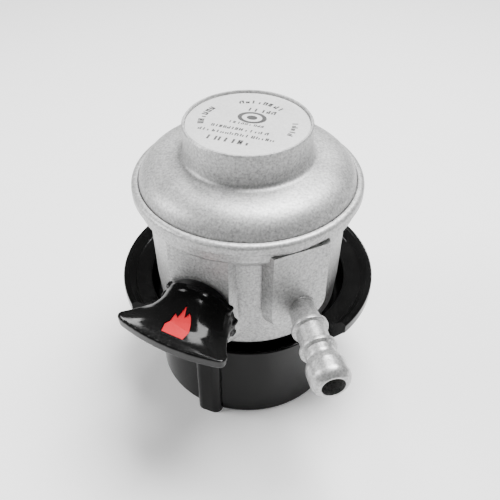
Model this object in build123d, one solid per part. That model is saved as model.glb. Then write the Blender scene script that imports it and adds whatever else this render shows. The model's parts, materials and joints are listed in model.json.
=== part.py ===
from build123d import *
import os
from math import cos, radians, sin, sqrt

# Clip-on low-pressure gas regulator for a cylinder valve with a 35 mm coupling. All sizes are in millimetres.
# The main axis is Z. The origin is the mouth of the valve socket, at the bottom of the release collar.
# An azimuth is measured in degrees about Z from the front (-Y), positive towards +X.

# Main casting
SOCKET_RADIUS = 17.6          # takes the 35 mm coupling of the cylinder valve
SOCKET_LAND = 9.0             # height of the guiding land at the socket's mouth
SOCKET_RELIEF = 18.0          # radius of the socket above that land
SOCKET_ROOF = 25.0
TUBE_RADIUS = 22.0            # outside of the socket tube that the collar slides on
BODY_BOTTOM = 31.0
BODY_BOTTOM_RADIUS = 27.6
WALL_TOP_RADIUS = 28.8
BOSS_FLANK = 3.4              # depth of a boss's sloping sides
BOSS_DRAFT = 24.0             # their slope, in degrees
CHAMBER_RADIUS = 25.5
CHAMBER_FLOOR = 51.5
LEDGE = 69.5                  # the face that the diaphragm's bead is clamped on
LEDGE_RADIUS = 31.45
RIM_RADIUS = 33.0
RIM_TOP = 72.5
RIM_INNER_RADIUS = 31.0
POCKET_FLOOR = 37.5
POCKET_DEEP_FLOOR = 28.5      # within the spring recess's radius
POCKET_DEEP_RADIUS = 20.5
POCKET_INNER_RADIUS = 12.0
POCKET_OUTER_RADIUS = 24.3
POCKET_START = 130.0
POCKET_SWEEP = 150.0
RECESS_RADIUS = 26.1          # ring-shaped recess under the body for the collar's spring
RECESS_TOP = 35.0
NOSE_RADIUS = 8.0
NOSE_BOTTOM = 19.0
RUNNING = 0.05                # radial clearance of a running fit

# Bonnet and what closes it
BONNET_EDGE_RADIUS = 30.8
BONNET_BOTTOM = LEDGE + 1.05
TOWER_RADIUS = 17.8
TOWER_BORE = 15.2
TOWER_TOP = 89.0
CAP_RADIUS = 17.0
CAP_SEAT = 87.1
CAP_THICKNESS = 1.2
PLUG_BOTTOM = 81.5
PLUG_TOP = 86.0
VENT_RADIUS = 0.8

# Switch: a shaft that lies along a radius of the body
SWITCH_AZIMUTH = -26.0
SWITCH_HEIGHT = 44.8
SWITCH_FACE = 29.5
SWITCH_BOSS_LEFT = 9.8
SWITCH_BOSS_RIGHT = 8.7
SWITCH_BOSS_BOTTOM = 33.0
SWITCH_BOSS_TOP = 66.2
LEVER_ROLL = -4.0             # the lever's tilt on its shaft with the gas on
HUB_RADIUS = 11.3
HUB_BACK = 29.85
HUB_FRONT = 36.5
SHAFT_RADIUS = 5.05
SHAFT_END = 3.5
SHAFT_NECK_RADIUS = 4.0
SHAFT_SHOULDER = 24.4
SQUARE = 5.6
SQUARE_END = 33.0
GLAND_RADIUS = 6.9
GLAND_BACK = 24.5
CAM_RADIUS = 1.25
CAM_OFFSET = 2.1
CAM_ANGLE = -45.0             # the cam pin's place about the shaft with the gas on

# Plunger that opens the cylinder valve
PLUNGER_RADIUS = 6.0
PLUNGER_TIP = 14.5
PLUNGER_HEAD = 32.5
PLUNGER_TOP = 47.4
PLUNGER_BORE_FLOOR = 26.0
PLUNGER_BORE_TOP = 51.0
STEM_RADIUS = 2.5

# Release collar
COLLAR_RADIUS = 29.3
COLLAR_INNER_RADIUS = 28.15
COLLAR_TOP = 28.0
COLLAR_DECK = 20.0
SLEEVE_RADIUS = 25.8          # thin sleeve on the collar that shields its spring
SLEEVE_BORE = 24.9
SLEEVE_TOP = 30.6
COLLAR_SHELF = 4.6            # top of the shelf over the retaining ring
COLLAR_LIFT = 4.0
LOCK_RING_RADIUS = 26.4
LOCK_RING_BOTTOM = 7.0
EAR_RADIUS = 39.2
EAR_TOP = 38.4
EAR_INNER_RADIUS = 30.5
EAR_START = 46.0
EAR_SWEEP = 252.0
RIB_AZIMUTH = -24.0
RIB_WIDTH = 8.0
RIB_REACH = 31.8
BALL_RADIUS = 3.0
BALL_HEIGHT = 12.0
BALL_DISTANCE = 19.3          # from the main axis with the collar down
BALL_TRAVEL = 1.4
BALL_COUNT = 6
BALL_START = 30.0

# Outlet boss and hose nozzle
OUTLET_AZIMUTH = 24.0
OUTLET_FACE = 31.95
OUTLET_LEFT = 6.95
OUTLET_RIGHT = 9.5
OUTLET_BOTTOM = 41.5
OUTLET_TOP = 67.6
NOZZLE_AZIMUTH = 13.1
NOZZLE_ROOT = Vector(14.8, -28.3, 46.9)
NOZZLE_LENGTH = 28.5
NOZZLE_BORE = 3.2
SHANK_BORE = 2.7
SHANK_BORE_END = 7.9
SHANK_RADIUS = 3.6
SHANK_LENGTH = 8.0
SHOULDER = 0.45               # end of the raised ring that the nozzle's neck stands on
NECK_RADIUS = 3.75
NECK_END_RADIUS = 4.25
BARB_RADIUS = 5.15
BARB_WIDTH = 1.3
BARBS = (8.35, 15.9)          # middles of the two barbs, from the root
BULB_RADIUS = 5.5
BULB_BACK = 19.3
BULB_LAND = (22.6, 25.6)

# Excess-flow valve, in a vertical bore behind the nozzle
FLOW_BORE_BACK = 15.3         # from the nozzle's root, along its axis
FLOW_BORE_RADIUS = 4.0
FLOW_BOSS_RADIUS = 6.2
FLOW_SEAT = NOZZLE_ROOT.Z + 3.9
FLOW_BOSS_TOP = FLOW_SEAT + 9.8
FLOW_TRAVEL = 1.7
FLOW_HEAD = FLOW_SEAT + FLOW_TRAVEL + 0.1
FLOW_GUIDE = FLOW_SEAT + 6.4

# Pressure-regulating mechanism, in the XZ plane
ORIFICE_HEIGHT = 55.5
TOWER_FACE = 5.5
JET_TIP = 8.5
PAD_TRAVEL = 0.6
PIVOT_X = 15.0
PIVOT_HEIGHT = 60.0
ARM_HEIGHT = 61.5
PIN_RADIUS = 1.0
CARRIER_RADIUS = 3.2
CARRIER_END = 17.2
PLATE_RADIUS = 17.0
PLATE_BOTTOM = LEDGE + 0.95


def outward(azimuth):
    """Unit vector away from the main axis."""
    angle = radians(azimuth)
    return Vector(sin(angle), -cos(angle), 0)


def facing(azimuth, height=0.0, distance=0.0):
    """Plane that faces outward: local x is sideways, to the right as seen from outside, and local y is up."""
    angle = radians(azimuth)
    centre = outward(azimuth) * distance + Vector(0, 0, height)
    return Plane(origin=centre, x_dir=(cos(angle), sin(angle), 0), z_dir=outward(azimuth))


def rounded(*points):
    """Face with corners at (x, y), or at (x, y, radius) where a corner is rounded."""
    face = make_face(Polyline(*[(p[0], p[1]) for p in points], close=True))
    for point in points:
        if len(point) == 3:
            corner = face.vertices().sort_by_distance((point[0], point[1], 0))[0]
            face = fillet(corner, point[2])
    return face


def turned(*points):
    """Solid turned about local Z from (radius, height) or (radius, height, rounding) points."""
    return revolve(Plane.XZ * rounded(*points), Axis.Z)


def rod(radius, low, high):
    """Cylinder about local Z between two heights."""
    return Pos(0, 0, low) * Cylinder(radius, high - low, align=(Align.CENTER, Align.CENTER, Align.MIN))


def tube(radius, bore, low, high):
    """Hollow cylinder about local Z."""
    return rod(radius, low, high) - rod(bore, low - 1, high + 1)


def block(x_range, y_range, z_range):
    """Box between two limits on each axis."""
    size = [high - low for low, high in (x_range, y_range, z_range)]
    centre = [(high + low) / 2 for low, high in (x_range, y_range, z_range)]
    return Pos(*centre) * Box(*size)


def coil(mean_radius, wire_radius, low, high, turns):
    """Helical compression spring about local Z whose wire lies between two heights."""
    height = high - low - 2 * wire_radius
    path = Helix(pitch=height / turns, height=height, radius=mean_radius)
    section = Plane(origin=path @ 0, z_dir=path % 0) * Circle(wire_radius)
    return Pos(0, 0, low + wire_radius) * sweep(section, path=path, is_frenet=True)


def along_x(height):
    """Plane whose local z runs along +X, centred on the main axis."""
    return Plane(origin=(0, 0, height), x_dir=(0, 1, 0), z_dir=(1, 0, 0))


def along_y(x, height):
    """Plane whose local z runs along +Y, through a point in the XZ plane."""
    return Plane(origin=(x, 0, height), x_dir=(1, 0, 0), z_dir=(0, 1, 0))


def nozzle_plane():
    """Plane at the nozzle's root whose local z runs out along the nozzle."""
    angle = radians(NOZZLE_AZIMUTH)
    return Plane(origin=NOZZLE_ROOT, x_dir=(cos(angle), sin(angle), 0), z_dir=outward(NOZZLE_AZIMUTH))


def flow_axis():
    """Place of the excess-flow valve's vertical axis."""
    place = NOZZLE_ROOT - outward(NOZZLE_AZIMUTH) * FLOW_BORE_BACK
    return Pos(place.X, place.Y, 0)


def boss(azimuth, face, outline):
    """Flat-faced boss with sloping sides, from inside the wall out to its face."""
    plane = facing(azimuth, 0, face)
    flank = extrude(plane * outline, amount=-BOSS_FLANK, taper=-BOSS_DRAFT)
    root = facing(azimuth) * extrude(outline, face - BOSS_FLANK)
    return flank + root


def make_body():
    """Zinc casting: socket tube, main wall, diaphragm rim, two flat bosses and all passages."""
    shell = turned(
        (0, SOCKET_ROOF),
        (SOCKET_RELIEF, SOCKET_ROOF),
        (SOCKET_RELIEF, SOCKET_LAND),
        (SOCKET_RADIUS, SOCKET_LAND),
        (SOCKET_RADIUS, 0),
        (TUBE_RADIUS, 0, 0.5),
        (TUBE_RADIUS, RECESS_TOP),
        (RECESS_RADIUS, RECESS_TOP),
        (RECESS_RADIUS, BODY_BOTTOM),
        (BODY_BOTTOM_RADIUS, BODY_BOTTOM, 1.2),
        (28.3, 40.0),
        (WALL_TOP_RADIUS, 62.8, 1.5),
        (31.6, 66.0, 0.4),
        (31.8, 69.0, 0.2),
        (RIM_RADIUS, 69.3, 0.6),
        (RIM_RADIUS, RIM_TOP, 1.3),
        (RIM_INNER_RADIUS, RIM_TOP, 0.4),
        (RIM_INNER_RADIUS, 71.5),
        (LEDGE_RADIUS, 71.3),
        (LEDGE_RADIUS, LEDGE),
        (CHAMBER_RADIUS, LEDGE),
        (CHAMBER_RADIUS, CHAMBER_FLOOR, 1.0),
        (0, CHAMBER_FLOOR),
    )
    switch_outline = rounded(
        (-SWITCH_BOSS_LEFT, SWITCH_BOSS_TOP), (-SWITCH_BOSS_LEFT, SWITCH_BOSS_BOTTOM, 3.0),
        (SWITCH_BOSS_RIGHT, SWITCH_BOSS_BOTTOM, 3.0), (SWITCH_BOSS_RIGHT, SWITCH_BOSS_TOP),
    )
    outlet_outline = rounded(
        (-OUTLET_LEFT, OUTLET_TOP, 0.3), (-OUTLET_LEFT, OUTLET_BOTTOM, 4.5),
        (OUTLET_RIGHT, OUTLET_BOTTOM, 7.0), (OUTLET_RIGHT, OUTLET_TOP, 0.3),
    )
    chamber = rod(CHAMBER_RADIUS, CHAMBER_FLOOR, RIM_TOP)
    boss_core = rod(CHAMBER_RADIUS - 3, SWITCH_BOSS_BOTTOM - 5, RIM_TOP)
    below_ledge = block((-60, 60), (-60, 60), (0, OUTLET_TOP))
    bosses = boss(SWITCH_AZIMUTH, SWITCH_FACE, switch_outline)
    bosses += boss(OUTLET_AZIMUTH, OUTLET_FACE, outlet_outline) & below_ledge
    nozzle_boss = nozzle_plane() * turned((0, -8), (4.1, -8), (4.1, SHOULDER, 0.25), (0, SHOULDER))
    casting = shell + (bosses - chamber - boss_core) + (nozzle_boss - chamber)
    casting -= tube(RECESS_RADIUS, TUBE_RADIUS, BODY_BOTTOM - 1, RECESS_TOP)
    casting += rod(NOSE_RADIUS, NOSE_BOTTOM, SOCKET_ROOF + 1)
    casting += rod(6.6, CHAMBER_FLOOR - 1, 58.4) - block((TOWER_FACE, 10), (-10, 10), (50, 60))
    casting += block((10.5, 12.3), (-4.8, 4.8), (CHAMBER_FLOOR - 1, 58.9))
    for side in (-1, 1):
        y_range = sorted((side * 4.3, side * 6.3))
        casting += block((13.3, 17.0), y_range, (CHAMBER_FLOOR - 1, PIVOT_HEIGHT + 2.2))
    casting += flow_axis() * rod(FLOW_BOSS_RADIUS, 44.0, FLOW_BOSS_TOP)
    pocket = make_face(Polyline(
        (POCKET_INNER_RADIUS, POCKET_DEEP_FLOOR), (POCKET_DEEP_RADIUS, POCKET_DEEP_FLOOR),
        (POCKET_DEEP_RADIUS, POCKET_FLOOR), (POCKET_OUTER_RADIUS, POCKET_FLOOR),
        (POCKET_OUTER_RADIUS, CHAMBER_FLOOR + 1), (POCKET_INNER_RADIUS, CHAMBER_FLOOR + 1), close=True,
    ))
    start = Rot(0, 0, POCKET_START - 90)
    casting -= start * revolve(Plane.XZ * pocket, Axis.Z, revolution_arc=POCKET_SWEEP)
    casting -= rod(PLUNGER_RADIUS + RUNNING, PLUNGER_BORE_FLOOR, PLUNGER_BORE_TOP)
    casting -= rod(STEM_RADIUS + 2 * RUNNING, NOSE_BOTTOM - 1, PLUNGER_BORE_FLOOR + 1)
    casting -= rod(2.0, PLUNGER_BORE_TOP - 1, ORIFICE_HEIGHT)
    casting -= along_x(ORIFICE_HEIGHT) * rod(2.02, 0, TOWER_FACE + 1)
    casting -= along_x(ORIFICE_HEIGHT) * rod(CARRIER_RADIUS + RUNNING, 10, 14)
    casting -= along_y(PIVOT_X, PIVOT_HEIGHT) * rod(PIN_RADIUS + 0.01, -8, 8)
    switch = facing(SWITCH_AZIMUTH, SWITCH_HEIGHT)
    casting -= switch * rod(SHAFT_RADIUS + RUNNING, 0, SWITCH_FACE + 1)
    casting -= switch * rod(GLAND_RADIUS, GLAND_BACK, SWITCH_FACE + 1)
    casting -= nozzle_plane() * rod(SHANK_RADIUS, -SHANK_LENGTH, 2)
    casting -= nozzle_plane() * rod(SHANK_BORE, -FLOW_BORE_BACK, 0)
    casting -= flow_axis() * rod(FLOW_BORE_RADIUS, FLOW_SEAT, FLOW_BOSS_TOP + 1)
    casting -= flow_axis() * rod(2.2, NOZZLE_ROOT.Z, FLOW_SEAT + 1)
    for index in range(BALL_COUNT):
        hole = facing(BALL_START + index * 360 / BALL_COUNT, BALL_HEIGHT)
        casting -= hole * rod(BALL_RADIUS + RUNNING, 18.3, TUBE_RADIUS + 1)
        casting -= hole * rod(BALL_RADIUS - 0.1, SOCKET_RADIUS - 2, 19)
    casting -= tube(TUBE_RADIUS + 1, TUBE_RADIUS - 0.8, 1.2, 2.6)
    return casting


def make_bonnet():
    """Cover over the diaphragm, with the tower that holds the main spring."""
    dome = Spline((BONNET_EDGE_RADIUS, 72.6), (29.3, 75.6), (26.0, 77.9), (22.0, 78.9), (19.6, 79.3))
    flare = Spline(dome @ 1, (18.3, 80.0), (TOWER_RADIUS + 0.05, 81.8), tangents=(dome % 1, (-0.02, 1)))
    outline = [
        Line((BONNET_EDGE_RADIUS, 71.4), dome @ 0),
        dome,
        flare,
        Line(flare @ 1, (TOWER_RADIUS, TOWER_TOP - 0.4)),
        Line((TOWER_RADIUS, TOWER_TOP - 0.4), (TOWER_RADIUS - 0.3, TOWER_TOP)),
        Line((TOWER_RADIUS - 0.3, TOWER_TOP), (CAP_RADIUS, TOWER_TOP)),
        Line((CAP_RADIUS, TOWER_TOP), (CAP_RADIUS, CAP_SEAT)),
        Line((CAP_RADIUS, CAP_SEAT), (TOWER_BORE, CAP_SEAT)),
        Line((TOWER_BORE, CAP_SEAT), (TOWER_BORE, 78.0)),
        Line((TOWER_BORE, 78.0), (16.4, 76.8)),
        Line((16.4, 76.8), (24.8, 75.8)),
        Line((24.8, 75.8), (28.0, 73.2)),
        Line((28.0, 73.2), (28.0, BONNET_BOTTOM)),
        Line((28.0, BONNET_BOTTOM), (31.3, BONNET_BOTTOM)),
        Line((31.3, BONNET_BOTTOM), (31.3, 71.2)),
        Line((31.3, 71.2), (BONNET_EDGE_RADIUS, 71.4)),
    ]
    cover = revolve(Plane.XZ * make_face(outline), Axis.Z)
    return cover - facing(180, 83.0) * rod(VENT_RADIUS, 10, 20)


def make_cap_disc():
    """Round plate that closes the tower; the tower's rim is staked over it."""
    return turned((0, CAP_SEAT + 0.02), (CAP_RADIUS - 0.03, CAP_SEAT + 0.02),
                  (CAP_RADIUS - 0.03, CAP_SEAT + CAP_THICKNESS, 0.2), (0, CAP_SEAT + CAP_THICKNESS))


def make_adjusting_plug():
    """Plug that sets the main spring's preload, with a hexagon socket for its key."""
    plug = turned((0, PLUG_BOTTOM), (TOWER_BORE - 0.04, PLUG_BOTTOM, 0.3),
                  (TOWER_BORE - 0.04, PLUG_TOP, 0.3), (0, PLUG_TOP))
    plug -= Pos(0, 0, PLUG_BOTTOM + 1.5) * extrude(RegularPolygon(6, 6), 10)
    return plug - rod(1.2, PLUG_BOTTOM - 1, PLUG_TOP)


def make_diaphragm():
    """Rubber diaphragm: clamped bead, one rolled convolution and a flat middle."""
    low = LEDGE + 0.03
    thick = 0.9
    roll = 22.8
    return turned(
        (2.6, low), (20.6, low), (roll - 1.0, low - 1.5, 0.8), (roll + 1.0, low - 1.5, 0.8),
        (CHAMBER_RADIUS, low), (31.2, low), (31.2, low + thick + 0.1), (CHAMBER_RADIUS - 0.4, low + thick),
        (roll + 0.6, low - 0.5, 0.5), (roll - 0.6, low - 0.5, 0.5), (20.2, low + thick - 0.05),
        (2.6, low + thick - 0.05),
    )


def make_diaphragm_plate():
    """Stiff cup on the diaphragm that the main spring stands in."""
    low = PLATE_BOTTOM
    return turned((2.62, low), (PLATE_RADIUS, low, 0.6), (PLATE_RADIUS, low + 2.6),
                  (PLATE_RADIUS - 0.9, low + 2.6), (PLATE_RADIUS - 0.9, low + 0.9), (2.62, low + 0.9))


def make_diaphragm_post():
    """Post through the middle of the diaphragm; its open slot takes the end of the regulating lever."""
    post = turned((0, ARM_HEIGHT - 2.5), (3.0, ARM_HEIGHT - 2.5, 0.4), (3.0, LEDGE - 1.2), (5.0, LEDGE - 1.2),
                  (5.0, LEDGE), (2.6, LEDGE), (2.6, PLATE_BOTTOM + 2.2, 0.3), (0, PLATE_BOTTOM + 2.2))
    return post - block((-1.3, 5), (-4, 4), (ARM_HEIGHT - 1.0, ARM_HEIGHT + 1.0))


def make_post_clip():
    """Push-on washer that holds plate, diaphragm and post together."""
    low = PLATE_BOTTOM + 0.92
    return turned((2.62, low), (5.4, low), (5.4, low + 0.5), (3.6, low + 1.0), (2.62, low + 1.0))


def make_regulator_lever():
    """Two-armed lever: the long arm follows the diaphragm, the short arm moves the valve pad."""
    hub = along_y(PIVOT_X, PIVOT_HEIGHT)
    lever = hub * rod(2.0, -3.6, 3.6)
    lever += block((0, PIVOT_X), (-1.6, 1.6), (ARM_HEIGHT - 0.5, ARM_HEIGHT + 0.5))
    lever += along_y(0, ARM_HEIGHT) * rod(0.9, -1.6, 1.6)
    lever += block((PIVOT_X - 0.4, PIVOT_X + 0.4), (-1.5, 1.5), (ORIFICE_HEIGHT, PIVOT_HEIGHT))
    lever += along_y(PIVOT_X, ORIFICE_HEIGHT) * rod(0.7, -1.5, 1.5)
    return lever - hub * rod(PIN_RADIUS + RUNNING, -5, 5)


def make_lever_pin():
    """Pivot pin of the regulating lever, across the two posts."""
    return along_y(PIVOT_X, PIVOT_HEIGHT) * rod(PIN_RADIUS, -6.3, 6.3)


def make_inlet_jet():
    """Brass jet screwed into the tower; its tip is the regulating seat."""
    jet = turned((0, 1.5), (2.0, 1.5), (2.0, TOWER_FACE + 0.02), (2.9, TOWER_FACE + 0.02),
                 (2.9, 7.3), (1.9, 7.3), (1.2, JET_TIP), (0, JET_TIP))
    return along_x(ORIFICE_HEIGHT) * (jet - rod(0.7, 0, JET_TIP + 1))


def make_pad_carrier():
    """Brass slider that carries the valve pad, with a slot for the lever's short arm."""
    face = JET_TIP + PAD_TRAVEL + 0.05
    carrier = turned((0, face + 0.3), (CARRIER_RADIUS, face + 0.3),
                     (CARRIER_RADIUS, CARRIER_END, 0.3), (0, CARRIER_END))
    carrier = along_x(ORIFICE_HEIGHT) * (carrier - rod(2.6, face, face + 1.2))
    carrier -= block((12.5, 20), (-5, 5), (ORIFICE_HEIGHT + 1.4, ORIFICE_HEIGHT + 5))
    slot = (PIVOT_X - 0.8, PIVOT_X + 0.8)
    return carrier - block(slot, (-1.7, 1.7), (ORIFICE_HEIGHT - 1.1, ORIFICE_HEIGHT + 5))


def make_valve_pad():
    """Rubber disc that closes the jet."""
    face = JET_TIP + PAD_TRAVEL + 0.05
    return along_x(ORIFICE_HEIGHT) * rod(2.58, face, face + 1.18)


def make_plunger():
    """Push rod on the main axis: its yoke follows the cam pin and its tip opens the cylinder valve."""
    rod_part = turned((0, PLUNGER_TIP), (STEM_RADIUS, PLUNGER_TIP, 0.6), (STEM_RADIUS, PLUNGER_HEAD),
                      (PLUNGER_RADIUS, PLUNGER_HEAD, 0.3), (PLUNGER_RADIUS, PLUNGER_TOP, 0.3),
                      (0, PLUNGER_TOP))
    pin_height = SWITCH_HEIGHT + CAM_OFFSET * sin(radians(CAM_ANGLE))
    slot = CAM_RADIUS + 0.12
    cuts = Part() + block((-8, 8), (3.2, 8), (36.3, 60)) + block((-8, 8), (-8, -3.2), (36.3, 60))
    cuts += block((-0.3, 3.8), (-8, 8), (pin_height - slot, pin_height + slot))
    for side in (-1, 1):
        cuts += Pos(side * 4.2, 0, 0) * rod(1.0, PLUNGER_HEAD - 1, PLUNGER_TOP + 1)
        cuts += block((-8, 8), sorted((side * 2.1, side * 4)), (PLUNGER_TIP + 3, PLUNGER_HEAD - 1))
    return Rot(0, 0, SWITCH_AZIMUTH) * (rod_part - cuts)


def make_cam_shaft():
    """Switch shaft: journal with a seal groove, square end for the lever and an eccentric cam pin."""
    shaft = turned((0, SHAFT_END), (SHAFT_RADIUS, SHAFT_END, 0.3), (SHAFT_RADIUS, 18.8), (4.0, 18.8),
                   (4.0, 21.2), (SHAFT_RADIUS, 21.2), (SHAFT_RADIUS, SHAFT_SHOULDER),
                   (SHAFT_NECK_RADIUS, SHAFT_SHOULDER),
                   (SHAFT_NECK_RADIUS, HUB_BACK), (0, HUB_BACK))
    shaft += Pos(0, 0, (HUB_BACK + SQUARE_END) / 2) * Box(SQUARE, SQUARE, SQUARE_END - HUB_BACK)
    cam = Pos(CAM_OFFSET * cos(radians(CAM_ANGLE)), CAM_OFFSET * sin(radians(CAM_ANGLE)), 0)
    shaft += cam * rod(CAM_RADIUS, -3.0, SHAFT_END + 0.5)
    return facing(SWITCH_AZIMUTH, SWITCH_HEIGHT) * (shaft - rod(1.5, 25, 40))


def make_shaft_o_ring():
    """Seal ring in the shaft's groove."""
    section = 0.52
    return facing(SWITCH_AZIMUTH, SWITCH_HEIGHT, 20.0) * Torus(4.54, section)


def make_gland_bush():
    """Brass bush that holds the shaft in the body."""
    bush = turned((SHAFT_NECK_RADIUS + RUNNING, GLAND_BACK), (GLAND_RADIUS - 0.02, GLAND_BACK),
                  (GLAND_RADIUS - 0.02, SWITCH_FACE), (SHAFT_NECK_RADIUS + RUNNING, SWITCH_FACE))
    return facing(SWITCH_AZIMUTH, SWITCH_HEIGHT) * bush


# Cross-sections of the lever's peak, from the hub outwards:
# distance from the main axis, half width, height of the side edge, of the crown and of the underside.
PEAK_SECTIONS = (
    (30.4, 11.2, 0.8, 10.8, -1.6),
    (34.0, 12.0, 1.8, 9.6, -1.0),
    (38.0, 13.4, 3.0, 8.4, 0.4),
    (43.0, 14.6, 4.0, 6.2, 1.2),
    (50.2, 15.7, 4.4, 4.6, 1.6),
)
PEAK_EDGE_MIDDLE = 49.4
PEAK_EDGE_CORNER = 47.2
PEAK_HALF_WIDTH = 15.4
FLAME_DEPTH = 1.6


def peak_blank():
    """The lever's peak before trimming: an arched shell that flattens and widens outwards."""
    sections = []
    for distance, half, edge, crown, under in PEAK_SECTIONS:
        outline = [
            Line((-half, under), (half, under)),
            Line((half, under), (half, edge)),
            ThreePointArc((half, edge), (0, crown), (-half, edge)),
            Line((-half, edge), (-half, under)),
        ]
        sections.append(Pos(0, 0, distance) * make_face(outline))
    return loft(sections)


def peak_trim():
    """Plan outline of the peak, with its bowed outer edge, as a tall prism in the lever's own frame."""
    corner = (PEAK_HALF_WIDTH, PEAK_EDGE_CORNER)
    outline = [
        ThreePointArc((-corner[0], corner[1]), (0, PEAK_EDGE_MIDDLE), corner),
        Line(corner, (11.8, 34.0)),
        Line((11.8, 34.0), (11.8, 30.0)),
        Line((11.8, 30.0), (-11.8, 30.0)),
        Line((-11.8, 30.0), (-11.8, 34.0)),
        Line((-11.8, 34.0), (-corner[0], corner[1])),
    ]
    face = make_face(outline)
    for side in (-1, 1):
        face = fillet(face.vertices().sort_by_distance((side * corner[0], corner[1], 0))[0], 2.0)
    return Plane(origin=(0, 20, 0), x_dir=(1, 0, 0), z_dir=(0, -1, 0)) * extrude(face, 40)


def flame_prism(shrink=0.0):
    """Flame outline on the peak, as a tall prism in the lever's own frame."""
    flame = [
        (-3.3, 46.1), (3.3, 46.1), (3.9, 43.6), (3.2, 41.3), (2.5, 39.9), (1.6, 39.0), (0.8, 40.6),
        (-0.1, 37.6), (-1.0, 41.2), (-2.1, 40.3), (-2.6, 42.6), (-3.6, 43.8),
    ]
    face = make_face(Polyline(*flame, close=True))
    if shrink:
        face = offset(face, -shrink, kind=Kind.INTERSECTION)
    return Plane(origin=(0, 20, 0), x_dir=(1, 0, 0), z_dir=(0, -1, 0)) * extrude(face, 40)


def make_switch_lever():
    """Black switch lever: round hub, grip lugs at its base and the wide peak that a thumb turns."""
    hub = turned((0, HUB_BACK), (HUB_RADIUS, HUB_BACK, 0.4), (HUB_RADIUS, HUB_FRONT, 1.5), (0, HUB_FRONT))
    peak = peak_blank() & peak_trim()
    lever = hub + peak
    for side in (0, 180):
        for angle in (-14, 10, 34):
            turn = angle if side == 0 else side - angle
            lug = Pos(cos(radians(turn)) * HUB_RADIUS, sin(radians(turn)) * HUB_RADIUS, 0)
            lever += lug * rod(0.7, HUB_BACK, HUB_BACK + 2.2)
    lever -= flame_prism() - Pos(0, -FLAME_DEPTH, 0) * peak_blank()
    lever = Rot(0, 0, LEVER_ROLL) * lever
    lever -= Pos(0, 0, HUB_BACK) * Box(SQUARE + 0.06, SQUARE + 0.06, 2 * (SQUARE_END + 0.2 - HUB_BACK))
    lever -= rod(1.6, HUB_BACK, HUB_FRONT + 1)
    lever -= rod(3.2, HUB_FRONT - 2.4, HUB_FRONT + 1)
    return facing(SWITCH_AZIMUTH, SWITCH_HEIGHT) * lever


def make_flame_indicator():
    """Red flame tile set into the peak."""
    tile = flame_prism(0.08) & (Pos(0, -0.25, 0) * peak_blank())
    tile -= Pos(0, 0.02 - FLAME_DEPTH, 0) * peak_blank()
    return facing(SWITCH_AZIMUTH, SWITCH_HEIGHT) * Rot(0, 0, LEVER_ROLL) * tile


def make_lever_screw():
    """Screw that holds the lever on the shaft."""
    seat = HUB_FRONT - 2.4
    screw = turned((0, 27), (1.48, 27), (1.48, seat + 0.02), (2.9, seat + 0.02),
                   (2.9, seat + 1.8, 0.5), (0, seat + 1.8))
    screw -= block((-3, 3), (-0.4, 0.4), (seat + 0.9, seat + 3))
    return facing(SWITCH_AZIMUTH, SWITCH_HEIGHT) * screw


def make_release_collar():
    """Black collar: skirt with a rib, inner web, and the raised grip flange round its sides and back."""
    ring_radius = LOCK_RING_RADIUS + 0.02
    skirt = turned(
        (27.6, 0), (COLLAR_RADIUS, 0, 0.6), (COLLAR_RADIUS, COLLAR_TOP, 0.4),
        (COLLAR_INNER_RADIUS, COLLAR_TOP),
        (COLLAR_INNER_RADIUS, COLLAR_DECK + 1.5), (SLEEVE_RADIUS, COLLAR_DECK + 1.5),
        (SLEEVE_RADIUS, SLEEVE_TOP), (SLEEVE_BORE, SLEEVE_TOP), (SLEEVE_BORE, COLLAR_DECK + 0.02),
        (ring_radius, COLLAR_DECK + 0.02),
        (ring_radius, LOCK_RING_BOTTOM), (24.7, LOCK_RING_BOTTOM), (24.7, COLLAR_SHELF),
        (TUBE_RADIUS + 0.3, COLLAR_SHELF), (TUBE_RADIUS + 0.3, 3.0), (27.6, 3.0),
    )
    rib_outline = rounded(
        (-RIB_WIDTH / 2, -RIB_REACH, 2.4), (RIB_WIDTH / 2, -RIB_REACH, 2.4),
        (RIB_WIDTH / 2, -COLLAR_RADIUS + 1.0), (-RIB_WIDTH / 2, -COLLAR_RADIUS + 1.0),
    )
    rib = Rot(0, 0, RIB_AZIMUTH) * extrude(rib_outline, COLLAR_TOP - 0.3)
    section = Plane.XZ * rounded(
        (COLLAR_INNER_RADIUS + 0.2, 21.0), (COLLAR_RADIUS, 21.5, 3.0), (38.6, 34.6, 0.8), (EAR_RADIUS, 35.2),
        (EAR_RADIUS, EAR_TOP, 0.8), (37.5, EAR_TOP, 0.4), (35.6, 36.4, 1.0), (EAR_INNER_RADIUS, 36.2, 0.4),
        (EAR_INNER_RADIUS, 29.5), (COLLAR_INNER_RADIUS + 0.2, 27.0),
    )
    start = Rot(0, 0, EAR_START - 90)
    ears = revolve(start * section, Axis.Z, revolution_arc=EAR_SWEEP)
    return skirt + rib + ears


def lock_cone_radius(height):
    """Inner radius of the lock ring's cone: 0.1 mm clear of the balls over the collar's travel."""
    slope = BALL_TRAVEL / COLLAR_LIFT
    middle = BALL_DISTANCE + (BALL_RADIUS + 0.1) * sqrt(1 + slope ** 2)
    return middle - slope * (height - BALL_HEIGHT)


def make_locking_ring():
    """Steel ring in the collar whose cone holds the balls in or lets them out."""
    land = TUBE_RADIUS + 0.06
    slope = BALL_TRAVEL / COLLAR_LIFT
    cone_top = BALL_HEIGHT + (lock_cone_radius(BALL_HEIGHT) - land) / slope
    bottom = LOCK_RING_BOTTOM + 0.02
    return turned((lock_cone_radius(bottom), bottom), (LOCK_RING_RADIUS, bottom),
                  (LOCK_RING_RADIUS, COLLAR_DECK), (land, COLLAR_DECK), (land, cone_top))


def make_locking_ball(index):
    """One locking ball, at its place with the collar down."""
    return facing(BALL_START + index * 360 / BALL_COUNT, BALL_HEIGHT, BALL_DISTANCE) * Sphere(BALL_RADIUS)


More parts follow.
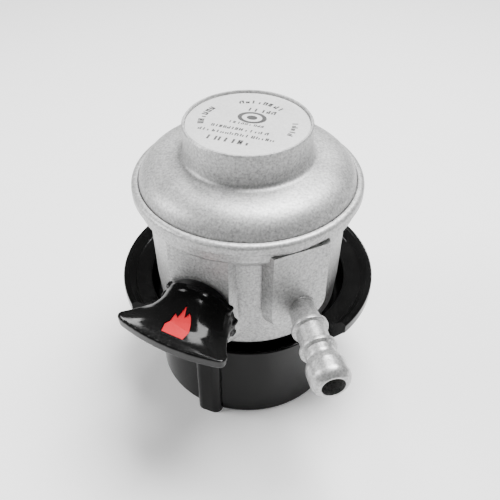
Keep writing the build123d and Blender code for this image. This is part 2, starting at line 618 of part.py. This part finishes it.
def make_retaining_ring():
    """Open snap ring under the collar, in the tube's groove."""
    ring = tube(24.3, TUBE_RADIUS - 0.78, 1.22, 2.58)
    return ring - block((-2.5, 2.5), (15, 30), (0, 5))


def make_inlet_seal():
    """Rubber washer that seals on the top of the cylinder valve."""
    return tube(14.0, NOSE_RADIUS + 0.02, SOCKET_ROOF - 2.0, SOCKET_ROOF - 0.02)


def make_hose_nozzle():
    """Hose nozzle: shank, tapered neck, two ring barbs, a bulb with a short land and a stepped bore."""
    shank = SHANK_RADIUS - 0.02
    step = SHOULDER + 0.02
    bulb_back = ThreePointArc((3.9, BULB_BACK), (4.95, BULB_BACK + 1.4), (BULB_RADIUS, BULB_LAND[0]))
    bulb_front = ThreePointArc((BULB_RADIUS, BULB_LAND[1]), (5.1, 27.2), (3.95, NOZZLE_LENGTH - 0.15))
    corners = [
        (3.9, BULB_BACK), (NECK_END_RADIUS - 0.15, BULB_BACK - 0.6), (NECK_END_RADIUS, 7.0),
        (NECK_RADIUS, 2.0),
        (NECK_RADIUS, step), (shank, step), (shank, -SHANK_LENGTH), (0, -SHANK_LENGTH), (0, NOZZLE_LENGTH),
        (3.7, NOZZLE_LENGTH), (3.95, NOZZLE_LENGTH - 0.15),
    ]
    outline = [bulb_back, Line((BULB_RADIUS, BULB_LAND[0]), (BULB_RADIUS, BULB_LAND[1])), bulb_front]
    outline += [Line(*ends) for ends in zip(corners, corners[1:])]
    nozzle = revolve(Plane.XZ * make_face(outline), Axis.Z)
    for middle in BARBS:
        low = middle - BARB_WIDTH / 2
        high = middle + BARB_WIDTH / 2
        nozzle += turned((0, low - 0.3), (4.2, low - 0.3), (BARB_RADIUS, low, 0.5), (BARB_RADIUS, high, 0.5),
                         (4.2, high + 0.3), (0, high + 0.3))
    nozzle -= rod(NOZZLE_BORE, SHANK_BORE_END, NOZZLE_LENGTH + 1)
    return nozzle_plane() * (nozzle - rod(SHANK_BORE, -SHANK_LENGTH - 1, SHANK_BORE_END + 1))


def make_excess_flow_poppet():
    """Poppet that shuts when the flow is too high: guide disc with flats, stem and head."""
    poppet = turned((0, FLOW_HEAD), (3.0, FLOW_HEAD, 0.2), (3.0, FLOW_HEAD + 1, 0.2), (1.2, FLOW_HEAD + 1),
                    (1.2, FLOW_GUIDE), (FLOW_BORE_RADIUS - RUNNING, FLOW_GUIDE),
                    (FLOW_BORE_RADIUS - RUNNING, FLOW_GUIDE + 1.4), (0, FLOW_GUIDE + 1.4))
    for side in (-1, 1):
        poppet -= block(sorted((side * 2.6, side * 6)), (-6, 6), (FLOW_GUIDE - 1, FLOW_GUIDE + 2))
    return flow_axis() * poppet


def make_excess_flow_cage():
    """Pressed ring that keeps the poppet in its bore."""
    return flow_axis() * tube(FLOW_BORE_RADIUS - 0.02, 2.4, FLOW_GUIDE + 1.7, FLOW_BOSS_TOP)


def springs():
    """The four helical springs, by node name."""
    return {
        "main_spring": coil(9.5, 0.8, PLATE_BOTTOM + 0.92, PLUG_BOTTOM - 0.02, 4),
        "collar_spring": coil(23.85, 0.6, COLLAR_DECK + 0.02, RECESS_TOP - 0.02, 5),
        "plunger_spring": coil(4.4, 0.45, PLUNGER_BORE_FLOOR + 0.02, PLUNGER_HEAD - 0.02, 4),
        "excess_flow_spring": flow_axis() * coil(3.45, 0.22, FLOW_SEAT + 0.02, FLOW_GUIDE - 0.02, 4),
    }


def main():
    nodes = {
        "body": make_body(),
        "bonnet": make_bonnet(),
        "cap_disc": make_cap_disc(),
        "adjusting_plug": make_adjusting_plug(),
        "diaphragm": make_diaphragm(),
        "diaphragm_plate": make_diaphragm_plate(),
        "diaphragm_post": make_diaphragm_post(),
        "post_clip": make_post_clip(),
        "regulator_lever": make_regulator_lever(),
        "lever_pin": make_lever_pin(),
        "inlet_jet": make_inlet_jet(),
        "pad_carrier": make_pad_carrier(),
        "valve_pad": make_valve_pad(),
        "plunger": make_plunger(),
        "cam_shaft": make_cam_shaft(),
        "shaft_o_ring": make_shaft_o_ring(),
        "gland_bush": make_gland_bush(),
        "switch_lever": make_switch_lever(),
        "flame_indicator": make_flame_indicator(),
        "lever_screw": make_lever_screw(),
        "release_collar": make_release_collar(),
        "locking_ring": make_locking_ring(),
        "retaining_ring": make_retaining_ring(),
        "inlet_seal": make_inlet_seal(),
        "hose_nozzle": make_hose_nozzle(),
        "excess_flow_poppet": make_excess_flow_poppet(),
        "excess_flow_cage": make_excess_flow_cage(),
    }
    nodes.update(springs())
    for index in range(BALL_COUNT):
        nodes[f"locking_ball_{index + 1}"] = make_locking_ball(index)
    os.makedirs("parts", exist_ok=True)
    for name, shape in nodes.items():
        export_step(shape, f"parts/{name}.step")


main()
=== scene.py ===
import json
import math
import random

import bmesh
import bpy
from mathutils import Matrix, Vector


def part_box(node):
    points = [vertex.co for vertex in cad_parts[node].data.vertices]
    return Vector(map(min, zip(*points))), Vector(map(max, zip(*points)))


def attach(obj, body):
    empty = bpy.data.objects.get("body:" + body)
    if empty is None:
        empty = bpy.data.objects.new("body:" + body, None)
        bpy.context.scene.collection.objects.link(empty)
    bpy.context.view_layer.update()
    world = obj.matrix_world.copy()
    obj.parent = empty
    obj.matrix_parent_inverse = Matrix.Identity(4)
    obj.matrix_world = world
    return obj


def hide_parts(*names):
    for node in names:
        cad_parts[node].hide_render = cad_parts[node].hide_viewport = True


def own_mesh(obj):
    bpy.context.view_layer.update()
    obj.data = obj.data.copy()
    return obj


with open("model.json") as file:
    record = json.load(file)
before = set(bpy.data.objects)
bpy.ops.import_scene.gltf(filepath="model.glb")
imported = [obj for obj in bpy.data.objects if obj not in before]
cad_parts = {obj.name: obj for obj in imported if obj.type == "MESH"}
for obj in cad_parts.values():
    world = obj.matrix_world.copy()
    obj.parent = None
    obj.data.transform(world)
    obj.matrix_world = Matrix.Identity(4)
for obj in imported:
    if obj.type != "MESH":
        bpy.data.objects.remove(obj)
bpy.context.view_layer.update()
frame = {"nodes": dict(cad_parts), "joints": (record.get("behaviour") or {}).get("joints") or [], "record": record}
nodes = frame["nodes"]
joints = {joint["name"]: joint for joint in frame["joints"]}

MM = 0.001                    # every length below is in millimetres until it is multiplied by this


# Materials

def new_material(name):
    """Empty node material: returns the material, its node tree and its shader node."""
    material = bpy.data.materials.new(name)
    material.use_nodes = True
    tree = material.node_tree
    return material, tree, tree.nodes["Principled BSDF"]


def node(tree, kind, inputs=None, **settings):
    """Adds a node with its settings and its constant inputs."""
    made = tree.nodes.new(kind)
    for key, value in settings.items():
        setattr(made, key, value)
    for key, value in (inputs or {}).items():
        made.inputs[key].default_value = value
    return made


def noise(tree, scale, detail=3.0, roughness=0.5):
    """Noise in the part's own coordinates; scale is in cells per metre."""
    place = node(tree, "ShaderNodeTexCoord")
    texture = node(tree, "ShaderNodeTexNoise", {"Scale": scale, "Detail": detail, "Roughness": roughness})
    tree.links.new(place.outputs["Object"], texture.inputs["Vector"])
    return texture.outputs["Fac"]


def remap(tree, value, low, high, to_low, to_high):
    """Maps a value's range onto another range."""
    limits = {"From Min": low, "From Max": high, "To Min": to_low, "To Max": to_high}
    made = node(tree, "ShaderNodeMapRange", limits)
    tree.links.new(value, made.inputs["Value"])
    return made.outputs["Result"]


def colour_ramp(tree, value, stops):
    """Colour ramp through (position, (r, g, b)) stops."""
    ramp = node(tree, "ShaderNodeValToRGB")
    elements = ramp.color_ramp.elements
    while len(elements) < len(stops):
        elements.new(0.5)
    for element, (position, colour) in zip(elements, stops):
        element.position = position
        element.color = (*colour, 1.0)
    tree.links.new(value, ramp.inputs["Fac"])
    return ramp.outputs["Color"]


def multiply(tree, one, other):
    """Product of two colours."""
    made = node(tree, "ShaderNodeMix", {"Factor": 1.0}, data_type="RGBA", blend_type="MULTIPLY")
    tree.links.new(one, made.inputs["A"])
    tree.links.new(other, made.inputs["B"])
    return made.outputs["Result"]


def bump(tree, shader, value, strength, distance):
    """Adds a bump to the shader's normal."""
    made = node(tree, "ShaderNodeBump", {"Strength": strength, "Distance": distance})
    tree.links.new(value, made.inputs["Height"])
    tree.links.new(made.outputs["Normal"], shader.inputs["Normal"])


def metal(name, dark, light, metallic, rough, grain=1500.0, grain_height=0.00003, mottle=0.12):
    """Grainy metal: speckled colour, broad mottling, uneven roughness and a fine grain bump."""
    material, tree, shader = new_material(name)
    fine = noise(tree, grain, 3.0, 0.7)
    broad = noise(tree, 110.0, 3.0)
    speckle = colour_ramp(tree, fine, [(0.33, dark), (0.67, light)])
    shade = colour_ramp(tree, broad, [(0.3, (1 - mottle,) * 3), (0.7, (1.0, 1.0, 1.0))])
    tree.links.new(multiply(tree, speckle, shade), shader.inputs["Base Color"])
    tree.links.new(remap(tree, broad, 0.3, 0.7, rough[0], rough[1]), shader.inputs["Roughness"])
    shader.inputs["Metallic"].default_value = metallic
    bump(tree, shader, fine, 0.5, grain_height)
    return material


def plastic(name, dark, light, rough, flow_height=0.00001, specular=0.5):
    """Moulded plastic: faint flow marks in the colour and an uneven gloss."""
    material, tree, shader = new_material(name)
    broad = noise(tree, 90.0, 3.0)
    fine = noise(tree, 1400.0, 2.0)
    tree.links.new(colour_ramp(tree, broad, [(0.35, dark), (0.65, light)]), shader.inputs["Base Color"])
    tree.links.new(remap(tree, fine, 0.3, 0.7, rough[0], rough[1]), shader.inputs["Roughness"])
    shader.inputs["Specular IOR Level"].default_value = specular
    bump(tree, shader, broad, 0.2, flow_height)
    return material


def grey(value):
    """Neutral colour."""
    return (value, value, value * 0.995)


MATERIALS = {
    "cast_zinc": metal("cast_zinc", grey(0.27), grey(0.58), 0.5, (0.38, 0.48)),
    "cap_print": metal("cap_print", grey(0.52), grey(0.62), 0.25, (0.45, 0.55), mottle=0.04),
    "nozzle_metal": metal("nozzle_metal", grey(0.26), grey(0.60), 0.65, (0.30, 0.42)),
    "black_plastic": plastic("black_plastic", grey(0.003), grey(0.006), (0.09, 0.16), specular=0.16),
    "red_plastic": plastic(
        "red_plastic", (0.56, 0.008, 0.016), (0.64, 0.014, 0.026), (0.45, 0.6), specular=0.2,
    ),
    "white_plastic": plastic("white_plastic", grey(0.70), grey(0.78), (0.35, 0.5)),
    "brass": metal("brass", (0.60, 0.42, 0.18), (0.74, 0.54, 0.26), 1.0, (0.25, 0.4)),
    "rubber": plastic("rubber", grey(0.015), grey(0.03), (0.6, 0.75)),
    "spring_steel": metal("spring_steel", grey(0.35), grey(0.5), 1.0, (0.25, 0.4)),
    "bright_steel": metal("bright_steel", grey(0.5), grey(0.65), 1.0, (0.15, 0.3)),
    "aluminium": metal("aluminium", grey(0.6), grey(0.75), 1.0, (0.3, 0.45)),
}
MARK_PRINT = plastic("mark_print", grey(0.035), grey(0.06), (0.4, 0.5))

for entry in frame["record"]["subparts"]:
    cad = nodes[entry["node"]]
    cad.data.materials.clear()
    cad.data.materials.append(MATERIALS[entry["material_slot"]])


# Mesh helpers

def add_piece(name, mesh, material, body, replaced=()):
    """Makes a mesh into a piece that rides on a body, and that may stand for some CAD nodes."""
    piece = bpy.data.objects.new(name, mesh)
    bpy.context.scene.collection.objects.link(piece)
    mesh.materials.clear()
    mesh.materials.append(material)
    if replaced:
        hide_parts(*replaced)
    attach(piece, body)
    return piece


def to_mesh(name, shape, smooth=True):
    """Turns a bmesh into a mesh with outward normals."""
    bmesh.ops.recalc_face_normals(shape, faces=shape.faces)
    mesh = bpy.data.meshes.new(name)
    shape.to_mesh(mesh)
    shape.free()
    mesh.shade_smooth() if smooth else mesh.shade_flat()
    return mesh


def add_grid(shape, rows, close_rows=False):
    """Adds quads between rows of points, and returns the rows of vertices."""
    made = [[shape.verts.new(point) for point in row] for row in rows]
    count = len(rows[0])
    pairs = count if close_rows else count - 1
    for low, high in zip(made, made[1:]):
        for index in range(pairs):
            after = (index + 1) % count
            shape.faces.new((low[index], low[after], high[after], high[index]))
    return made


def add_prism(shape, outline, low, high):
    """Adds a prism on an outline; low and high give each corner's two points."""
    bottom = [shape.verts.new(low(*corner)) for corner in outline]
    top = [shape.verts.new(high(*corner)) for corner in outline]
    caps = [shape.faces.new(bottom), shape.faces.new(top)]
    for index in range(len(outline)):
        after = (index + 1) % len(outline)
        shape.faces.new((bottom[index], bottom[after], top[after], top[index]))
    bmesh.ops.triangulate(shape, faces=caps)


def applied(name, mesh, *modifiers):
    """Applies modifiers, each (type, settings), to a mesh and returns the result."""
    holder = bpy.data.objects.new(name, mesh)
    bpy.context.scene.collection.objects.link(holder)
    for kind, settings in modifiers:
        modifier = holder.modifiers.new(kind.lower(), kind)
        for key, value in settings.items():
            setattr(modifier, key, value)
    bpy.context.view_layer.update()
    result = bpy.data.meshes.new_from_object(holder.evaluated_get(bpy.context.evaluated_depsgraph_get()))
    bpy.data.objects.remove(holder)
    result.name = name
    return result


def between(stations, distance):
    """Smooth values at a distance, from (distance, value, ...) stations."""
    for near, far in zip(stations, stations[1:]):
        if distance <= far[0]:
            part = max(0.0, (distance - near[0]) / (far[0] - near[0]))
            return [a + (b - a) * part for a, b in zip(near[1:], far[1:])]
    return list(stations[-1][1:])


# Switch lever. Its own frame has its origin on the main axis, at the shaft's height:
# right is sideways, up is square to the lever's plan and out runs along the shaft.

LEVER_ROLL = math.radians(-4.0)   # the lever's tilt on its shaft with the gas on
outward = Vector(joints["switch_turn"]["axis"]).normalized()
level = Vector((-outward.y, outward.x, 0.0))
upward = Vector((0.0, 0.0, 1.0))
lever_right = level * math.cos(LEVER_ROLL) + upward * math.sin(LEVER_ROLL)
lever_up = upward * math.cos(LEVER_ROLL) - level * math.sin(LEVER_ROLL)
shaft_origin = Vector((0.0, 0.0, joints["switch_turn"]["pos_m"][2]))

HUB_BACK = 29.85
HUB_FRONT = 36.3
HUB_RADIUS = 11.1
EDGE_MIDDLE = 49.7            # outer edge of the peak, in the middle
EDGE_BOW = 2.2                # how far the edge falls back towards its corners
CORNER_START = 0.82           # share of the half width at which a corner begins to round off
CORNER_CUT = 2.0
PEAK_THICK = 3.4
# distance, half width, height of the side edge, height of the crown, and power of the arch:
# 0.5 is a half circle and a larger power gives a narrower crown between flared wings
PEAK = (
    (29.9, 11.0, -0.5, 10.6, 0.50),
    (33.0, 11.2, 0.6, 10.6, 0.60),
    (36.0, 11.8, 2.2, 9.6, 1.00),
    (39.0, 12.8, 3.2, 8.2, 1.40),
    (43.0, 14.6, 4.6, 6.2, 1.60),
    (46.5, 16.9, 5.5, 5.2, 1.40),
    (49.7, 18.3, 6.0, 5.0, 1.00),
)
# right, distance
FLAME = (
    (-3.3, 46.1), (3.3, 46.1), (3.9, 43.6), (3.2, 41.3), (2.5, 39.9), (1.6, 39.0), (0.8, 40.6),
    (-0.1, 37.6), (-1.0, 41.2), (-2.1, 40.3), (-2.6, 42.6), (-3.6, 43.8),
)
FLAME_RECESS = 1.2            # depth of the recess, and of the tile's top surface, below the peak
FLAME_SUNK = 0.3
PRINT_LIFT = 0.005            # height of the print's base over the cap


def lever_point(right, up, out):
    """Place in the shared frame of a point given in the lever's own frame, in millimetres."""
    return shaft_origin + (lever_right * right + lever_up * up + outward * out) * MM


def peak_height(right, distance):
    """Height of the peak's top surface."""
    half, edge, crown, power = between(PEAK, distance)
    share = min(1.0, abs(right) / half)
    return edge + (crown - edge) * (1 - share ** 2) ** power


def add_peak(shape):
    """Adds the peak: a bowed shell that starts as an arch and flattens outwards."""
    steps_out, steps_across = 30, 40
    rows = []
    for step in range(steps_out + 1):
        top, under = [], []
        for index in range(steps_across + 1):
            across = 2 * index / steps_across - 1
            corner = max(0.0, (abs(across) - CORNER_START) / (1 - CORNER_START))
            reach = EDGE_MIDDLE - EDGE_BOW * across ** 2 - CORNER_CUT * corner ** 2.5
            distance = HUB_BACK + 0.05 + (reach - HUB_BACK - 0.05) * step / steps_out
            right = across * between(PEAK, distance)[0]
            height = peak_height(right, distance)
            top.append(lever_point(right, height, distance))
            under.append(lever_point(right * 0.985, height - PEAK_THICK, distance - 0.35 * step / steps_out))
        rows.append(top + under[::-1])
    made = add_grid(shape, rows, close_rows=True)
    for row in (made[0], made[-1]):
        for index in range(steps_across):
            shape.faces.new((row[index], row[index + 1], row[-2 - index], row[-1 - index]))


def add_turned(shape, profile, centre=(0.0, 0.0), steps=64):
    """Adds a solid turned about an axis along the shaft from (radius, distance) points."""
    rows = []
    for radius, distance in profile:
        turn = [2 * math.pi * index / steps for index in range(steps)]
        rows.append([
            lever_point(centre[0] + radius * math.cos(angle), centre[1] + radius * math.sin(angle), distance)
            for angle in turn
        ])
    made = add_grid(shape, rows, close_rows=True)
    shape.faces.new(made[0])
    shape.faces.new(made[-1])


def make_lever():
    """Black lever, with its hub and peak melted into one moulded shape, and the recess for the flame."""
    solid = bmesh.new()
    hub = ((10.6, HUB_BACK), (HUB_RADIUS, HUB_BACK + 0.4), (HUB_RADIUS, 32.0), (10.5, 34.0), (9.0, 35.8),
           (6.5, HUB_FRONT + 0.4))
    add_turned(solid, hub)
    add_peak(solid)
    for side in (1, -1):
        for angle in (-16, 8, 32):
            turn = math.radians(angle)
            centre = (side * HUB_RADIUS * math.cos(turn), HUB_RADIUS * math.sin(turn))
            lug = ((0.5, HUB_BACK), (0.85, HUB_BACK + 0.3), (0.85, 31.9), (0.4, 32.4))
            add_turned(solid, lug, centre, 16)
    mesh = to_mesh("lever_solid", solid)
    mesh = applied("lever_moulded", mesh,
                   ("REMESH", {"mode": "VOXEL", "voxel_size": 0.25 * MM, "use_smooth_shade": True}),
                   ("SMOOTH", {"factor": 0.5, "iterations": 12}))
    cuts = bmesh.new()
    add_prism(cuts, FLAME,
              lambda right, out: lever_point(right, peak_height(right, out) - FLAME_RECESS, out),
              lambda right, out: lever_point(right, 14.0, out))
    add_turned(cuts, ((3.25, HUB_FRONT - 2.4), (3.25, HUB_FRONT + 1.0)), steps=48)
    cutter = bpy.data.objects.new("lever_cuts", to_mesh("lever_cuts", cuts))
    bpy.context.scene.collection.objects.link(cutter)
    mesh = applied("switch_lever_moulded", mesh,
                   ("BOOLEAN", {"operation": "DIFFERENCE", "solver": "EXACT", "object": cutter}))
    bpy.data.objects.remove(cutter)
    mesh.shade_smooth()
    mesh.set_sharp_from_angle(angle=math.radians(40))
    add_piece("switch_lever_moulded", mesh, MATERIALS["black_plastic"], "switch",
              ["switch_lever"])


def make_flame():
    """Red flame tile that lies a little below the peak's surface."""
    middle = Vector((sum(p[0] for p in FLAME), sum(p[1] for p in FLAME))) / len(FLAME)
    outline = [middle + (Vector(corner) - middle) * 0.96 for corner in FLAME]
    shape = bmesh.new()
    add_prism(shape, outline,
              lambda right, out: lever_point(right, peak_height(right, out) - FLAME_RECESS + 0.02, out),
              lambda right, out: lever_point(right, peak_height(right, out) - FLAME_SUNK, out))
    mesh = applied("flame_tile", to_mesh("flame_solid", shape, smooth=False),
                   ("BEVEL", {"width": 0.1 * MM, "segments": 2, "limit_method": "ANGLE"}))
    add_piece("flame_tile", mesh, MATERIALS["red_plastic"], "switch", ["flame_indicator"])


# Generic marks: rows of short strokes that say nothing

def add_stroke(shape, place, along, across, rise, size):
    """Adds one flat stroke: a thin block with its base at a place."""
    half_long, half_wide, height = (value * MM / 2 for value in size)
    corners = [(-1, -1), (1, -1), (1, 1), (-1, 1)]
    add_prism(shape, corners,
              lambda a, b: place + along * a * half_long + across * b * half_wide - rise * height,
              lambda a, b: place + along * a * half_long + across * b * half_wide + rise * height)


def stroke_row(shape, length, height, spot, heavy=0.5):
    """Adds a row of strokes; spot(position, lift) gives a place and the row's two directions."""
    position = -length / 2
    while position < length / 2:
        width = draw.uniform(0.45, 0.8) * height
        kind = draw.randrange(3)
        for shift in (-0.5, 0.5) if kind else (0.0,):
            tall = height * draw.choice((0.65, 1.0, 1.0))
            place, along, across = spot(position + width * (0.5 + shift * 0.7), (tall - height) / 2)
            add_stroke(shape, place, along, across, upward, (heavy * height * 0.6, tall, 0.03))
        if kind == 2:
            place, along, across = spot(position + width / 2, draw.choice((-0.3, 0.0, 0.3)) * height)
            add_stroke(shape, place, along, across, upward, (width * 0.7, heavy * height * 0.5, 0.03))
        position += width + draw.uniform(0.3, 0.4) * height * draw.choice((1, 1, 1, 1, 1.8))


PRINT_TURN = math.radians(-19.0)
print_along = Vector((math.cos(PRINT_TURN), math.sin(PRINT_TURN), 0.0))
print_across = Vector((-math.sin(PRINT_TURN), math.cos(PRINT_TURN), 0.0))
# across, along, length and height of each straight row on the cap
STRAIGHT_ROWS = (
    (7.2, 1.2, 7.0, 1.7), (-0.7, 0.0, 10.0, 1.1), (-3.8, -0.9, 16.0, 1.3), (-6.5, -1.6, 20.0, 1.3),
    (-9.9, -2.2, 11.6, 2.0),
)
# radius, turn in degrees, length and height of each bent row
BENT_ROWS = ((11.6, 0.0, 12.5, 1.7), (12.7, 88.0, 9.5, 1.7), (12.7, -88.0, 7.5, 1.6))


def make_cap_marks():
    """Printed strokes and a plain round sign on the cap."""
    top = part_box("cap_disc")[1].z
    centre = Vector((0.0, 0.0, top + PRINT_LIFT * MM))
    shape = bmesh.new()
    for across, along, length, height in STRAIGHT_ROWS:
        def straight(position, lift):
            place = centre + (print_along * (along + position) + print_across * (across + lift)) * MM
            return place, print_along, print_across
        stroke_row(shape, length, height, straight)
    for radius, turn, length, height in BENT_ROWS:
        def bent(position, lift):
            angle = math.radians(90 + turn) - position / radius
            out = print_along * math.cos(angle) + print_across * math.sin(angle)
            return centre + out * (radius + lift) * MM, Vector((out.y, -out.x, 0.0)), out
        stroke_row(shape, length, height, bent)
    sign = centre + (print_across * 3.0 + print_along * 0.2) * MM
    steps = 48
    for inner, outer in ((2.1, 3.0), (0.0, 1.1)):
        rings = [[], [], [], []]
        for index in range(steps):
            angle = 2 * math.pi * index / steps
            out = print_along * math.cos(angle) * 1.35 + print_across * math.sin(angle)
            section = ((inner, -0.02), (inner, 0.02), (outer, 0.02), (outer, -0.02))
            for ring, (radius, lift) in zip(rings, section):
                ring.append(sign + (out * max(radius, 0.01) + upward * lift) * MM)
        add_grid(shape, [*rings, rings[0]], close_rows=True)
    bmesh.ops.remove_doubles(shape, verts=shape.verts, dist=1e-7)
    add_piece("cap_marks", to_mesh("cap_marks", shape, smooth=False), MARK_PRINT, "housing")


def make_shoulder_marks():
    """Faint raised strokes cast on the bonnet's shoulder, in front and at the left."""
    shape = bmesh.new()
    radius, height = 29.75, 74.75
    for middle, length in ((2.0, 34.0), (-74.0, 22.0)):
        def cast(position, lift):
            angle = math.radians(middle) + position / radius
            out = Vector((math.sin(angle), -math.cos(angle), 0.0))
            along = Vector((math.cos(angle), math.sin(angle), 0.0))
            slope = (upward * 0.85 - out * 0.53).normalized()
            return (out * radius + upward * height) * MM + slope * lift * MM, along, slope
        stroke_row(shape, length, 1.5, cast, heavy=0.3)
    add_piece("shoulder_marks", to_mesh("shoulder_marks", shape, smooth=False), MATERIALS["cast_zinc"],
              "housing")


# Coil springs in place of the CAD springs

def make_spring(name):
    """Coil spring in place of a CAD spring, riding on the housing."""
    low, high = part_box(name)
    centre = (low + high) / 2
    outer = (high.x - low.x) / 2
    wire = SPRINGS[name][0] * MM
    turns = SPRINGS[name][1]
    height = high.z - low.z - 2 * wire
    shape = bmesh.new()
    rows = []
    steps = turns * 40
    for step in range(steps + 1):
        angle = 2 * math.pi * turns * step / steps
        out = Vector((math.cos(angle), math.sin(angle), 0.0))
        middle = Vector((centre.x, centre.y, low.z + wire + height * step / steps)) + out * (outer - wire)
        rows.append([
            middle + (out * math.cos(side) + upward * math.sin(side)) * wire
            for side in (2 * math.pi * index / 10 for index in range(10))
        ])
    made = add_grid(shape, rows, close_rows=True)
    shape.faces.new(made[0])
    shape.faces.new(made[-1])
    piece = add_piece(name + "_coil", to_mesh(name + "_coil", shape), MATERIALS["spring_steel"],
                      "housing", [name])
    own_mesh(piece)


# wire radius and turns
SPRINGS = {"collar_spring": (0.6, 5), "main_spring": (0.8, 4), "excess_flow_spring": (0.22, 4)}


# Surroundings

def make_floor():
    """Plain pale floor."""
    bpy.ops.mesh.primitive_plane_add(size=4.0, location=(0, 0, 0))
    floor = bpy.context.object
    floor.name = "floor"
    material, tree, shader = new_material("floor")
    shader.inputs["Base Color"].default_value = (0.95, 0.95, 0.95, 1.0)
    shader.inputs["Roughness"].default_value = 0.7
    shader.inputs["Emission Color"].default_value = (1.0, 1.0, 1.0, 1.0)
    shader.inputs["Emission Strength"].default_value = 0.12
    floor.data.materials.append(material)


def area_light(name, place, target, size, power):
    """Soft light at a place, turned towards a target."""
    data = bpy.data.lights.new(name, "AREA")
    data.shape = "RECTANGLE"
    data.size = size[0]
    data.size_y = size[1]
    data.energy = power
    made = bpy.data.objects.new(name, data)
    made.location = place
    made.rotation_euler = (Vector(target) - Vector(place)).to_track_quat("-Z", "Y").to_euler()
    bpy.context.scene.collection.objects.link(made)


def make_world():
    """Dim even surroundings."""
    world = bpy.data.worlds.new("studio")
    world.use_nodes = True
    world.node_tree.nodes["Background"].inputs["Color"].default_value = (1.0, 1.0, 1.0, 1.0)
    world.node_tree.nodes["Background"].inputs["Strength"].default_value = 0.10
    bpy.context.scene.world = world


CAMERA_DISTANCE = 0.2133
CAMERA_ELEVATION = math.radians(42.27)
CAMERA_TARGET = Vector((0.0, 0.0, 0.035))


def make_camera():
    """Camera in front, looking down at the main axis."""
    data = bpy.data.cameras.new("camera")
    data.sensor_width = 36.0
    data.lens = 47.75
    data.shift_x = 0.0044
    data.shift_y = 0.0406
    data.clip_start = 0.01
    made = bpy.data.objects.new("camera", data)
    direction = Vector((0.0, -math.cos(CAMERA_ELEVATION), math.sin(CAMERA_ELEVATION)))
    made.location = CAMERA_TARGET + direction * CAMERA_DISTANCE
    made.rotation_euler = (math.pi / 2 - CAMERA_ELEVATION, 0.0, 0.0)
    bpy.context.scene.collection.objects.link(made)
    bpy.context.scene.camera = made


draw = random.Random(7)
make_lever()
make_flame()
make_cap_marks()
make_shoulder_marks()
make_spring("collar_spring")
make_spring("main_spring")
make_spring("excess_flow_spring")
make_floor()
make_world()
area_light("overhead", (0.13, 0.12, 0.58), (0, 0, 0.05), (0.34, 0.34), 10.5)
area_light("left", (-0.45, -0.02, 0.28), (0, 0, 0.05), (0.20, 0.30), 2.4)
area_light("glint", (-0.05, 0.36, 0.52), (0, 0, 0.05), (0.09, 0.09), 0.9)
make_camera()
